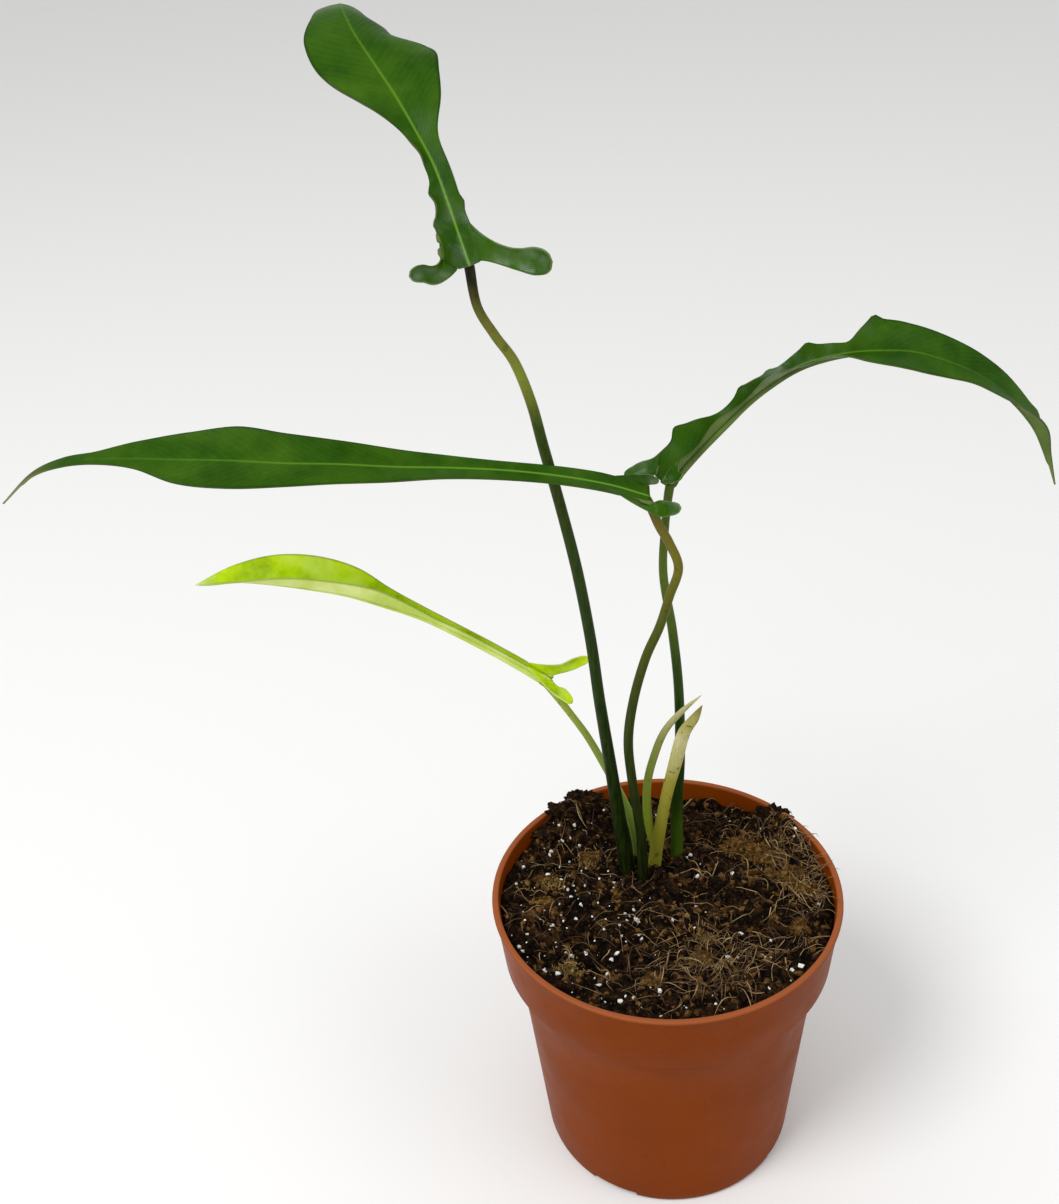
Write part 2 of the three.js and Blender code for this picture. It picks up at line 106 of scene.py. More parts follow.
# Lines through evenly spaced points, in millimetres


def along(values, t):
    """Number or point at t, 0 to 1, on a smooth line through evenly spaced ones."""
    last = len(values) - 1
    place = min(max(t, 0.0), 1.0) * last
    i = min(int(place), last - 1)
    f = place - i
    b, c = values[i], values[i + 1]
    a = values[i - 1] if i > 0 else 2 * b - c
    d = values[i + 2] if i < last - 1 else 2 * c - b
    return b + 0.5 * f * ((c - a) + f * ((2 * a - 5 * b + 4 * c - d) + f * (3 * (b - c) + d - a)))


def heading(points, t):
    step = 0.002
    return (along(points, t + step) - along(points, t - step)).normalized()


def square_to(direction, line):
    return (direction - line * direction.dot(line)).normalized()


def points(rows):
    return [Vector(row) for row in rows]


def ease(x):
    x = min(max(x, 0.0), 1.0)
    return x * x * (3 - 2 * x)


# Blades: the same midribs, widths and ears as the solids, with finer margins

STILL = {"height": 0.0, "count": 0, "until": 1.0}

BLADES = [
    {
        "name": "blade_1",
        "rows": 40,
        "dry_from": 2,
        "shine_at": 0.03,
        "young": False,
        "midrib": points(
            [
                (-49, -15, 335), (-51.5, -12, 342), (-54.5, -8, 350), (-58, -3, 358),
                (-63, 3, 365.5), (-68.5, 10, 372.5), (-74.5, 17, 379.2), (-80.5, 25, 385.5),
                (-84.5, 34, 389.5), (-87.5, 45, 389.5), (-91.5, 56, 385), (-94.5, 66, 375),
                (-97, 72, 363),
            ]
        ),
        "to_right": points([(1, 0.25, 0.1), (1, 0.25, 0.1), (1, 0.2, 0.15), (1, 0.2, 0.3)]),
        "left": {
            "width": [3.2, 6.3, 3.4, 2.8, 3.8, 9.6, 14.4, 13.6, 8.6, 5.6, 4, 2.2, 0],
            "rise": [30, 20, 10, 5],
            "curl": [10, 5, -15, -20],
            "wave": {"height": 1.1, "count": 8, "until": 0.42},
            "nibs": [(0.045, 2.6, 0.022), (0.12, 1.0, 0.01), (0.19, 1.4, 0.018), (0.27, -0.7, 0.02)],
        },
        "right": {
            "width": [3.2, 4.1, 3.7, 3.8, 6.2, 13, 16, 10, 7, 5.5, 4.5, 2, 0],
            "rise": [35, 30, 10, -15, -15, 0],
            "curl": [10, 0, -10, -30, -35, -20],
            "wave": {"height": 0.6, "count": 6, "until": 0.42},
            "nibs": [(0.15, 0.8, 0.012), (0.35, 1.3, 0.04), (0.46, 0.6, 0.03), (0.63, 2.6, 0.05)],
        },
        "ears": [
            {
                "side": -1,
                "rows": (0, 4),
                "vein": points([(-54, -17, 335.5), (-57, -21, 335), (-59.5, -24, 336.5), (-62.5, -26, 336.5)]),
                "across": Vector((-0.3, 0.25, 0.9)),
                "width": [2.5, 1.8, 2.2, 2, 0],
            },
            {
                "side": 1,
                "rows": (0, 4),
                "vein": points([(-42, -18, 339), (-36, -20, 338), (-31, -22, 338), (-27.5, -24, 338.5)]),
                "across": Vector((-0.3, 0.25, 0.9)),
                "width": [3, 1.9, 2.6, 3.2, 0],
            },
        ],
    },
    {
        "name": "blade_2",
        "rows": 48,
        "dry_from": 0.84,
        "shine_at": -1,
        "young": False,
        "midrib": points(
            [
                (-4, 2, 259.5), (-15.5, -3, 266), (-29, -9, 272), (-43.5, -14, 276.5),
                (-58.5, -18, 279.5), (-73, -21, 281.5), (-87.5, -24, 284), (-102, -26, 285.5),
                (-116, -28, 287.5), (-129.5, -29, 288.5), (-141.5, -30, 289.5), (-152, -31, 290),
                (-162, -31, 289), (-171.5, -31, 285.5), (-181.5, -31, 277),
            ]
        ),
        "to_right": points([(0, 1, 0.3), (0, 1, 0.3)]),
        "left": {
            "width": [4, 3.6, 3.4, 3.8, 4.5, 6, 7.5, 9, 10.5, 8.8, 3.6, 1.7, 1.4, 1, 0],
            "rise": [12, 8, 4, 0],
            "curl": [0, -5, -10, 0],
            "wave": {"height": 0.4, "count": 4, "until": 0.8},
            "nibs": [],
        },
        "right": {
            "width": [3.6, 3.2, 3.2, 3.7, 5, 6.4, 8.3, 11.4, 14, 11, 6.5, 3.2, 2.2, 1, 0],
            "rise": [12, 8, 6, 0],
            "curl": [0, -5, -10, 0],
            "wave": {"height": 0.4, "count": 3, "until": 0.8},
            "nibs": [],
        },
        "ears": [
            {
                "side": -1,
                "rows": (0, 3),
                "vein": points([(-3.5, -2, 258.5), (-1, -4.5, 259), (1.5, -6.5, 260), (4.5, -8, 261)]),
                "across": Vector((0, -0.5, -0.8)),
                "width": [2.4, 2, 2.2, 1.8, 0],
            },
            {
                "side": 1,
                "rows": (0, 3),
                "vein": points([(-4.5, 7, 262.5), (-3, 7.5, 262), (-1.5, 8, 261.5)]),
                "across": Vector((0, 0.5, 0.8)),
                "width": [2, 1.5, 1, 0],
            },
        ],
    },
    {
        "name": "blade_3",
        "rows": 44,
        "dry_from": 0.93,
        "shine_at": 0.36,
        "young": False,
        "midrib": points(
            [
                (0.5, 12, 258), (5.5, 14, 263.5), (11, 16, 269), (17, 18, 274.5), (23.5, 20, 280.5),
                (30, 22, 285), (37.5, 24, 289), (45, 26, 291), (54, 28, 292), (63, 29, 292),
                (72.5, 30, 291), (82.5, 31, 287.5), (92, 31, 283), (101, 30, 276.5),
                (109, 29, 267.5), (113.5, 28, 258.5), (117.5, 28, 248.5),
            ]
        ),
        "to_right": points([(0, -1, -0.2), (0, -1, -0.3), (0, -1, -0.4), (0, -1, -0.4), (0, -1, -0.3)]),
        "left": {
            "width": [4, 7.5, 7.5, 4, 3.4, 3.2, 3.4, 4.4, 5, 9.5, 8.6, 8.2, 7.6, 7, 6, 3.4, 0],
            "rise": [45, 60, 50, 25, 10, 10],
            "curl": [0, 0, 0, 0, 0, 0],
            "wave": {"height": 0.9, "count": 8, "until": 0.6},
            "nibs": [
                (0.11, 2.2, 0.018), (0.26, 0.9, 0.012), (0.33, 0.9, 0.012), (0.42, 1.1, 0.014),
                (0.5, -1.5, 0.02), (0.55, 1.6, 0.012), (0.875, 2.0, 0.015), (0.93, -1.6, 0.025),
            ],
        },
        "right": {
            "width": [3.5, 4, 3, 3, 3, 3.4, 4, 4.5, 5.5, 8, 8.3, 6.4, 4.6, 4.8, 4.2, 1.6, 0],
            "rise": [50, 56, 60, 58, 50, 30, 10, 0, 25, 62, 60],
            "curl": [0, 0, 0, 0, -10, -10],
            "wave": {"height": 0.7, "count": 7, "until": 0.6},
            "nibs": [(0.82, 1.8, 0.06)],
        },
        "ears": [
            {
                "side": -1,
                "rows": (0, 3),
                "vein": points([(-3, 16.5, 262), (-6, 17.5, 261), (-9, 18, 259.5), (-12, 18.5, 258)]),
                "across": Vector((0.2, 0.4, 0.9)),
                "width": [3, 2.2, 2, 1.6, 0],
            },
            {
                "side": 1,
                "rows": (0, 3),
                "vein": points([(3, 8.5, 262.5), (4, 6.5, 263.5), (5, 5, 264.5)]),
                "across": Vector((0.6, 0, 0.7)),
                "width": [2.5, 2, 1.5, 0],
            },
        ],
    },
    {
        "name": "blade_4",
        "rows": 34,
        "dry_from": 0.93,
        "shine_at": 0.7,
        "young": True,
        "midrib": points(
            [
                (-37.5, 16, 184), (-47, 16, 191), (-57, 15, 198.5), (-67, 14, 205.5),
                (-77.5, 13, 212), (-88.5, 12, 217), (-99.5, 11, 221.5), (-111, 10, 224.5),
                (-122.5, 8, 227.5), (-133.5, 6, 229.5), (-145.5, 4, 229.5),
            ]
        ),
        "to_right": points([(0, 1, 0.2), (0, 1, 0.2)]),
        "left": {
            "width": [2, 2, 2, 2.2, 2.8, 4.2, 5.6, 6.2, 6, 4, 0],
            "rise": [50, 45, 45, 40, 20],
            "curl": [30, 50, 60, 50, 0],
            "wave": STILL,
            "nibs": [(0.52, 2.4, 0.08), (0.36, -0.6, 0.04)],
        },
        "right": {
            "width": [2, 1.9, 2, 2.2, 3, 5.5, 9, 10.2, 8.8, 5, 0],
            "rise": [50, 45, 50, 50, 40],
            "curl": [30, 50, 20, 10, 0],
            "wave": STILL,
            "nibs": [],
        },
        "ears": [
            {
                "side": -1,
                "rows": (0, 3),
                "vein": points([(-36, 12.5, 184), (-33, 11, 183), (-30, 9.5, 180.5)]),
                "across": Vector((-0.5, -0.8, -0.3)),
                "width": [1.6, 1.5, 1.8, 0],
            },
            {
                "side": 1,
                "rows": (0, 3),
                "vein": points([(-36, 18.5, 187), (-32.5, 20, 187), (-28.5, 21.5, 188), (-24.5, 23, 188.5)]),
                "across": Vector((0, 0.3, 0.9)),
                "width": [1.6, 1.2, 1.5, 1.6, 0],
            },
        ],
    },
]

# Stalks from the buried stem to each blade, and the colours of their skin from the soil up

STALKS = [
    {
        "name": "petiole_1",
        "slot": "dark_stalk",
        "points": points(
            [
                (-12, 14.5, 84), (-13.5, 14.5, 105), (-16, 12.5, 130), (-18.5, 10.5, 156),
                (-21, 8, 182), (-23, 5, 208), (-26, 1, 235), (-29.8, -2, 258.5), (-33.6, -4.5, 278.8),
                (-36, -8, 294), (-39.5, -11, 307), (-44, -13, 315.5), (-48, -14, 324),
                (-48.7, -15, 334.5),
            ]
        ),
        "radius": [3, 2.9, 2.4, 2.1, 1.9, 1.8, 1.75, 1.65, 1.6, 1.5, 1.4, 1.3, 1.25, 1.5],
        "skin": [
            (100, (4, 13, 3)), (125, (8, 26, 4)), (160, (14, 36, 4)), (230, (26, 48, 5)), (285, (44, 62, 10)),
            (303, (120, 128, 44)), (318, (104, 104, 42)), (328, (62, 58, 26)), (333, (24, 20, 12)),
        ],
    },
    {
        "name": "petiole_2",
        "slot": "olive_stalk",
        "points": points(
            [
                (-7, 10, 84), (-8, 10, 102), (-8.5, 9, 125), (-11, 8, 149), (-12, 7, 167),
                (-10, 6, 184), (-6, 4, 201.5), (-1.5, 3, 214), (1.5, 2, 225.5), (4.2, 1, 236),
                (1.5, 1, 244.5), (-1.5, 1, 250.5), (-4, 2, 258.5),
            ]
        ),
        "radius": [1.9, 1.9, 1.7, 1.6, 1.6, 1.55, 1.5, 1.45, 1.4, 1.4, 1.4, 1.4, 1.6],
        "skin": [
            (100, (4, 12, 3)), (125, (12, 26, 5)), (150, (30, 42, 8)), (180, (44, 56, 12)), (215, (70, 76, 18)),
            (240, (104, 98, 28)), (252, (98, 88, 34)),
        ],
    },
    {
        "name": "petiole_3",
        "slot": "dark_stalk",
        "points": points(
            [
                (3, 22, 84), (4, 24, 103), (4, 22, 127), (5, 20, 153), (4.5, 18, 180),
                (2.5, 16, 204), (-0.3, 14, 226), (0.3, 12.5, 244), (0.7, 12, 257),
            ]
        ),
        "radius": [2.3, 2.3, 2.1, 1.8, 1.6, 1.5, 1.35, 1.25, 1.5],
        "skin": [
            (100, (66, 92, 18)), (116, (56, 84, 14)), (130, (22, 46, 6)), (150, (18, 42, 6)), (190, (34, 62, 10)),
            (225, (82, 100, 28)), (250, (66, 86, 24)),
        ],
    },
    {
        "name": "petiole_4",
        "slot": "young_stalk",
        "points": points(
            [
                (-9.5, 20, 84), (-9.8, 20.5, 102), (-11, 19.8, 118), (-15, 19, 133),
                (-20.5, 18.5, 147), (-26, 18, 160), (-32, 17, 171.5), (-37.5, 16, 183),
            ]
        ),
        "radius": [1.4, 1.5, 1.8, 1.4, 1.3, 1.25, 1.2, 1.3],
        # The foot of this stalk is its own pale young green made lighter still: painted light against the shade
        # between the stalks.
        "skin": [(100, (128, 156, 66)), (130, (132, 160, 66)), (160, (136, 154, 62)), (182, (158, 176, 70))],
    },
]

SHEATH = {
    "points": points(
        [
            (-3.5, 16.5, 84), (-4, 17, 102.5), (-2, 15.5, 121.5), (0.5, 14, 138.5), (3.5, 12, 154.5),
            (6, 10, 167.5), (9.5, 8, 175.5), (12, 7, 181.5),
        ]
    ),
    "radius": [2.5, 2.4, 2.2, 2.0, 2.3, 2.2, 1.6, 0.1],
}
SHOOT = {
    "points": points(
        [
            (-3.5, 17.5, 110), (-6, 16.5, 126), (-6, 15.5, 142), (-3.5, 14, 155.5), (0, 13, 166.5),
            (5.5, 12, 175.2), (11.8, 11, 182.5),
        ]
    ),
    "radius": [1.5, 1.5, 1.35, 1.3, 1.2, 1, 0.15],
}


def blade_frame(blade, t):
    forward = heading(blade["midrib"], t)
    right = square_to(along(blade["to_right"], t), forward)
    return along(blade["midrib"], t), right, right.cross(forward)


def half_width(half, t):
    width = max(along(half["width"], t), 0.0)
    for place, height, spread in half["nibs"]:
        width += height * math.exp(-(((t - place) / spread) ** 2))
    return width


def blade_point(blade, t, v):
    """Point of the blade at t from base to tip and v from the left margin, -1, to the right, 1."""
    point, right, up = blade_frame(blade, t)
    half = blade["left"] if v < 0 else blade["right"]
    size = abs(v)
    width = half_width(half, t) * size
    rise = math.radians(along(half["rise"], t))
    curl = math.radians(along(half["curl"], t))
    mean = rise + 0.5 * curl * size
    end = rise + curl * size
    wave = half["wave"]
    fade = max(0.0, min(1.0, t * 12, (wave["until"] - t) * 12))
    ripple = wave["height"] * size * size * fade * math.sin(2 * math.pi * wave["count"] * t)
    out = width * math.cos(mean) + ripple * (0.6 * math.cos(end) - math.sin(end))
    lift = width * math.sin(mean) + ripple * (0.6 * math.sin(end) + math.cos(end))
    return point + right * math.copysign(out, v) + up * lift


def lobe_width(values, b):
    """Width of an ear, rounded off beyond the last but one of its widths."""
    start = 1 - 1 / (len(values) - 1)
    if b < start:
        return max(along(values, b), 0.0)
    return values[-2] * math.sqrt(max(0.0, 1 - ((b - start) / (1 - start)) ** 2))


def ear_point(blade, ear, a, b):
    """Point of an ear, a across its root and b from the margin to its tip."""
    first, last = (row / blade["rows"] for row in ear["rows"])
    root = blade_point(blade, first + (last - first) * a, ear["side"])
    middle = blade_point(blade, (first + last) / 2, ear["side"])
    vein = [middle] + ear["vein"]
    wide = square_to(ear["across"], heading(vein, b))
    dome = wide.cross(heading(vein, b)) * ear["side"]
    width = lobe_width(ear["width"], b)
    lobe = along(vein, b) + wide * (width * (2 * a - 1)) + dome * (0.3 * width * (1 - (2 * a - 1) ** 2))
    return root.lerp(lobe, ease(b / 0.45))


# Making pieces


def plant_settings():
    return bpy.context.scene.potted_plant_colours


def new_piece(name, shape, materials, stands_for=(), smooth=True):
    """Links a finished bmesh as a piece that stays with the pot, and frees it."""
    mesh = bpy.data.meshes.new(name)
    for face in shape.faces:
        face.smooth = smooth
    shape.to_mesh(mesh)
    shape.free()
    piece = bpy.data.objects.new(name, mesh)
    bpy.context.scene.collection.objects.link(piece)
    for material in materials:
        mesh.materials.append(material)
    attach(piece, "root")
    for node in stands_for:
        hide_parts(node)
    return piece


def merge_close(shape, distance=2e-6):
    bmesh.ops.remove_doubles(shape, verts=shape.verts[:], dist=distance)
    bmesh.ops.dissolve_degenerate(shape, edges=shape.edges[:], dist=1e-7)


def face_out(shape):
    bmesh.ops.recalc_face_normals(shape, faces=shape.faces[:])


def crease_corners(mesh, degrees=38):
    """Shades a mesh flat across its sharp corners."""
    shape = bmesh.new()
    shape.from_mesh(mesh)
    for edge in shape.edges:
        edge.smooth = edge.calc_face_angle(0) < math.radians(degrees)
    shape.to_mesh(mesh)
    shape.free()


def bent_tube(shape, line, radius, rings, sides, flat=1.0, wide=Vector((1, 0, 0)), swell=None):
    """Adds a tapered tube along a line in millimetres, closed at both ends."""
    made = bmesh.ops.create_grid(shape, x_segments=sides, y_segments=rings, size=1)
    for vert in made["verts"]:
        turn = math.pi * vert.co.x
        t = (vert.co.y + 1) / 2
        forward = heading(line, t)
        side = square_to(wide, forward)
        depth = side.cross(forward)
        size = max(along(radius, t), 0.0) * (swell(t, turn) if swell else 1.0)
        if t < 1e-4 or t > 1 - 1e-4:
            size = 0.0
        spot = along(line, t) + side * (size * math.cos(turn)) + depth * (size * flat * math.sin(turn))
        vert.co = spot * MM
    return made["verts"]


def soil_height(x, y):
    """Height of the soil in millimetres, with the same mounds as the solid."""
    height = 104.5 - 0.045 * y
    for mx, my, rise, spread in ((-33, 41, 7, 11), (44, 33, 6, 10), (30, 2, 2, 12), (-12, -32, -3, 8)):
        height += rise * math.exp(-((x - mx) ** 2 + (y - my) ** 2) / spread**2)
    height += 0.8 * math.sin(0.21 * x + 1.3) * math.cos(0.17 * y - 0.4)
    return height + 0.6 * math.sin(0.53 * x - 0.6 * y) * math.cos(0.47 * y + 0.31 * x)


def crumbly_height(x, y):
    """Height of the soil with heaps at the back, a hollow in front and rough lumps."""
    spot = Vector((x, y, 0))
    height = soil_height(x, y)
    for mx, my, rise, spread in ((-36, 42, 3.5, 10), (41, 36, 3, 10), (-23, -36, -4, 6), (37, 20, 2, 9)):
        height += rise * math.exp(-((x - mx) ** 2 + (y - my) ** 2) / spread**2)
    lumps = noise.noise(spot * 0.16) * 2.0 + noise.noise(spot * 0.42) * 1.5
    inward = min(1.0, max(0.0, (57.5 - math.hypot(x, y)) / 4))
    return height + (lumps + abs(noise.noise(spot * 1.1)) * 1.2) * (0.4 + 0.6 * inward) - 0.4


def strewn(amount, add_one, batch=100):
    """Mesh of many small pieces, each made by add_one, gathered in batches to save time."""
    whole = bmesh.new()
    for start in range(0, amount, batch):
        part = bmesh.new()
        for number in range(start, min(start + batch, amount)):
            add_one(part, number)
        merge_close(part)
        face_out(part)
        mesh = bpy.data.meshes.new("batch")
        part.to_mesh(mesh)
        part.free()
        whole.from_mesh(mesh)
        bpy.data.meshes.remove(mesh)
    return whole


# Materials


def new_material(name):
    material = bpy.data.materials.new(name)
    material.use_nodes = True
    tree = material.node_tree
    return material, tree, tree.nodes["Principled BSDF"]


def add_node(tree, kind, **inputs):
    made = tree.nodes.new(kind)
    for key, value in inputs.items():
        made.inputs[key.replace("_", " ")].default_value = value
    return made


def object_place(tree):
    return tree.nodes.new("ShaderNodeTexCoord").outputs["Object"]


def noise_of(tree, place, scale, detail=4.0, roughness=0.55):
    made = add_node(tree, "ShaderNodeTexNoise", Scale=scale, Detail=detail, Roughness=roughness)
    tree.links.new(place, made.inputs["Vector"])
    return made.outputs["Fac"]


def ramp_of(tree, factor, stops):
    made = tree.nodes.new("ShaderNodeValToRGB")
    elements = made.color_ramp.elements
    while len(elements) < len(stops):
        elements.new(0.5)
    for element, (place, value) in zip(elements, stops):
        element.position = place
        element.color = (*value, 1) if len(value) == 3 else value
    tree.links.new(factor, made.inputs["Fac"])
    return made.outputs["Color"]


def mix_of(tree, factor, first, second, blend="MIX"):
    made = tree.nodes.new("ShaderNodeMix")
    made.data_type = "RGBA"
    made.blend_type = blend
    for socket, value in ((made.inputs[0], factor), (made.inputs[6], first), (made.inputs[7], second)):
        if isinstance(value, bpy.types.NodeSocket):
            tree.links.new(value, socket)
        elif isinstance(value, (int, float)):
            socket.default_value = value
        else:
            socket.default_value = (*value, 1)
    return made.outputs[2]


def math_of(tree, operation, first, second=0.0, clamp=False):
    made = tree.nodes.new("ShaderNodeMath")
    made.operation = operation
    made.use_clamp = clamp
    for socket, value in zip(made.inputs, (first, second)):
        if isinstance(value, bpy.types.NodeSocket):
            tree.links.new(value, socket)
        else:
            socket.default_value = value
    return made.outputs[0]


def span_of(tree, value, low, high, to_low=0.0, to_high=1.0):
    made = tree.nodes.new("ShaderNodeMapRange")
    made.inputs["From Min"].default_value = low
    made.inputs["From Max"].default_value = high
    made.inputs["To Min"].default_value = to_low
    made.inputs["To Max"].default_value = to_high
    tree.links.new(value, made.inputs["Value"])
    return made.outputs["Result"]


def attribute_of(tree, name):
    made = tree.nodes.new("ShaderNodeAttribute")
    made.attribute_name = name
    return made.outputs["Fac"]


def bump_of(tree, shader, height, strength, distance):
    made = add_node(tree, "ShaderNodeBump", Strength=strength, Distance=distance)
    tree.links.new(height, made.inputs["Height"])
    tree.links.new(made.outputs["Normal"], shader.inputs["Normal"])


def leaf_skin(name, colours, rib_colour, dry_colour, gloss, vein_pitch=60.0):
    """Leaf surface: mottled green, a pale midrib and faint side veins that sweep to the tip."""
    material, tree, shader = new_material(name)
    dark, mid, light = colours
    place = object_place(tree)
    rib = attribute_of(tree, "from_midrib")
    t = attribute_of(tree, "along_blade")
    edge = attribute_of(tree, "to_margin")
    mottle = ramp_of(
        tree, noise_of(tree, place, 70, 5, 0.6), [(0.3, dark), (0.5, mid), (0.72, light)]
    )
    sweep = math_of(tree, "SUBTRACT", math_of(tree, "MULTIPLY", t, vein_pitch), math_of(tree, "MULTIPLY", edge, 5.0))
    wave = math_of(tree, "SINE", math_of(tree, "MULTIPLY", sweep, 6.283))
    vein = math_of(tree, "POWER", span_of(tree, wave, -1, 1), 5.0)
    faint = mix_of(tree, math_of(tree, "MULTIPLY", vein, 0.035), mottle, rib_colour)
    near = math_of(tree, "POWER", span_of(tree, rib, 0.1, 0.55, 1.0, 0.0), 1.2)
    fading = math_of(tree, "MULTIPLY", near, span_of(tree, t, 0.0, 0.85, 1.0, 0.0))
    with_rib = mix_of(tree, fading, faint, rib_colour)
    rim = math_of(tree, "MULTIPLY", span_of(tree, edge, 0.92, 1.0), 0.6)
    with_rim = mix_of(tree, rim, with_rib, tuple(0.45 * part for part in dark))
    dry = math_of(tree, "MULTIPLY", attribute_of(tree, "dryness"), 0.85)
    tree.links.new(mix_of(tree, dry, with_rim, dry_colour), shader.inputs["Base Color"])
    glint = math_of(tree, "MULTIPLY", attribute_of(tree, "shine"), span_of(tree, noise_of(tree, place, 120, 3), 0.42, 0.6))
    tree.links.new(span_of(tree, glint, 0.0, 1.0, 0.05, 0.8), shader.inputs["Specular IOR Level"])
    rough = span_of(tree, noise_of(tree, place, 180, 3), 0.3, 0.7, gloss - 0.07, gloss + 0.1)
    tree.links.new(rough, shader.inputs["Roughness"])
    grain = math_of(tree, "MULTIPLY", noise_of(tree, place, 900, 2), 0.4)
    height = math_of(tree, "SUBTRACT", grain, math_of(tree, "MULTIPLY", vein, 0.25))
    bump_of(tree, shader, height, 0.25, 0.0004)
    return material


def stalk_skin(name, skin, gloss=0.42, flecks=(40, 32, 16), fleck_share=0.35, streaks=0.1):
    """Stalk surface whose colour changes with height, with fine lengthwise streaks and flecks."""
    material, tree, shader = new_material(name)
    place = object_place(tree)
    split = tree.nodes.new("ShaderNodeSeparateXYZ")
    tree.links.new(place, split.inputs["Vector"])
    low, high = skin[0][0] * MM, skin[-1][0] * MM
    wobble = math_of(tree, "MULTIPLY", noise_of(tree, place, 90, 3), 0.012)
    height = math_of(tree, "ADD", split.outputs["Z"], math_of(tree, "SUBTRACT", wobble, 0.006))
    stops = [((z * MM - low) / (high - low), tone(*value)) for z, value in skin]
    body = ramp_of(tree, span_of(tree, height, low, high), stops)
    squeeze = add_node(tree, "ShaderNodeMapping")
    squeeze.inputs["Scale"].default_value = (1, 1, 0.06)
    tree.links.new(place, squeeze.inputs["Vector"])
    streak = noise_of(tree, squeeze.outputs["Vector"], 1500, 3)
    streaked = mix_of(tree, span_of(tree, streak, 0.35, 0.75, 0.0, streaks), body, tone(130, 140, 60))
    speck = span_of(tree, noise_of(tree, place, 420, 2), 0.62, 0.7, 0.0, fleck_share)
    tree.links.new(mix_of(tree, speck, streaked, tone(*flecks)), shader.inputs["Base Color"])
    shader.inputs["Roughness"].default_value = gloss
    shader.inputs["Specular IOR Level"].default_value = 0.08
    bump_of(tree, shader, streak, 0.08, 0.0002)
    return material


def pot_plastic(brown):
    """Moulded plastic with a soft sheen, faint marbling, soil dust near the lip and a painted highlight along the top
    of the lip.
    """
    material, tree, shader = new_material("moulded_brown_plastic")
    place = object_place(tree)
    split = tree.nodes.new("ShaderNodeSeparateXYZ")
    tree.links.new(place, split.inputs["Vector"])
    darker = tuple(0.9 * part for part in brown)
    lighter = tuple(min(1.0, 1.1 * part) for part in brown)
    marble = ramp_of(tree, noise_of(tree, place, 28, 6, 0.65), [(0.32, darker), (0.5, brown), (0.7, lighter)])
    high = span_of(tree, split.outputs["Z"], 0.07, 0.1088, 0.0, 1.0)
    dust = math_of(tree, "MULTIPLY", high, span_of(tree, noise_of(tree, place, 120, 5), 0.5, 0.75, 0.0, 0.16))
    dusty = mix_of(tree, dust, marble, tone(96, 76, 44))
    speck = span_of(tree, noise_of(tree, place, 650, 2), 0.68, 0.74, 0.0, 0.45)
    spotted = mix_of(tree, speck, dusty, tone(52, 34, 22))
    # Painted highlight: a pale orange band mixed into the colour along the top of the lip.
    lip = span_of(tree, split.outputs["Z"], 0.1078, 0.1087, 0.0, 0.3)
    tree.links.new(mix_of(tree, lip, spotted, tone(204, 128, 88)), shader.inputs["Base Color"])
    rough = span_of(tree, noise_of(tree, place, 60, 4), 0.3, 0.7, 0.34, 0.5)
    tree.links.new(rough, shader.inputs["Roughness"])
    shader.inputs["Specular IOR Level"].default_value = 0.035
    bump_of(tree, shader, noise_of(tree, place, 500, 2), 0.08, 0.0002)
    return material


def soil_matter(name, stops, scale=260.0, bump=0.9):
    """Rough crumbly matter, coloured by a fine noise."""
    material, tree, shader = new_material(name)
    place = object_place(tree)
    grain = noise_of(tree, place, scale, 6, 0.7)
    colour_out = ramp_of(tree, grain, [(at, tone(*value)) for at, value in stops])
    patch = span_of(tree, noise_of(tree, place, 45, 3), 0.35, 0.65, 0.0, 1.0)
    dim = mix_of(tree, patch, (0.62, 0.6, 0.58), (1.0, 1.0, 1.0))
    tree.links.new(mix_of(tree, 1.0, colour_out, dim, "MULTIPLY"), shader.inputs["Base Color"])
    shader.inputs["Roughness"].default_value = 0.92
    shader.inputs["Specular IOR Level"].default_value = 0.05
    bump_of(tree, shader, grain, bump, 0.0012)
    return material


def plain_matter(name, first, second, scale, roughness, bump=0.3):
    material, tree, shader = new_material(name)
    place = object_place(tree)
    grain = noise_of(tree, place, scale, 4)
    tree.links.new(ramp_of(tree, grain, [(0.35, tone(*first)), (0.65, tone(*second))]), shader.inputs["Base Color"])
    shader.inputs["Roughness"].default_value = roughness
    bump_of(tree, shader, grain, bump, 0.0004)
    return material


# Pot


def pot_profile(sizes):
    """Points of the pot's section, from the underside's centre round the wall and back inside."""
    top = sizes.height
    lip = sizes.lip_radius
    foot = sizes.foot_radius
    wall = sizes.wall
    band = top - 0.0239
    outside = [
        (0, 0), (foot - 0.0025, 0), (foot - 0.0012, 0.0002), (foot - 0.0004, 0.0008), (foot, 0.002),
        (foot + 0.0003, 0.005), (foot + 0.0026, 0.030), (foot + 0.0052, 0.058), (lip - 0.0070, band - 0.0012),
        (lip - 0.0067, band - 0.0006), (lip - 0.0040, band - 0.0004), (lip - 0.0032, band - 0.0001),
        (lip - 0.0029, band + 0.0006), (lip - 0.0018, band + 0.012), (lip - 0.0007, top - 0.0022),
        (lip - 0.0006, top - 0.0018), (lip - 0.0001, top - 0.0014), (lip, top - 0.0010),
        (lip - 0.0001, top - 0.0004), (lip - 0.0006, top),
    ]
    inside = [
        (lip - 0.0016, top), (lip - 0.0021, top - 0.0003), (lip - 0.0023, top - 0.0009),
        (lip - 0.0030 - wall, band + 0.0012), (lip - 0.0034 - wall, band + 0.0004),
        (lip - 0.0069 - wall, band - 0.0016), (foot - wall + 0.0008, 0.004), (foot - wall - 0.0008, 0.0022),
        (0, 0.0022),
    ]
    return outside + inside


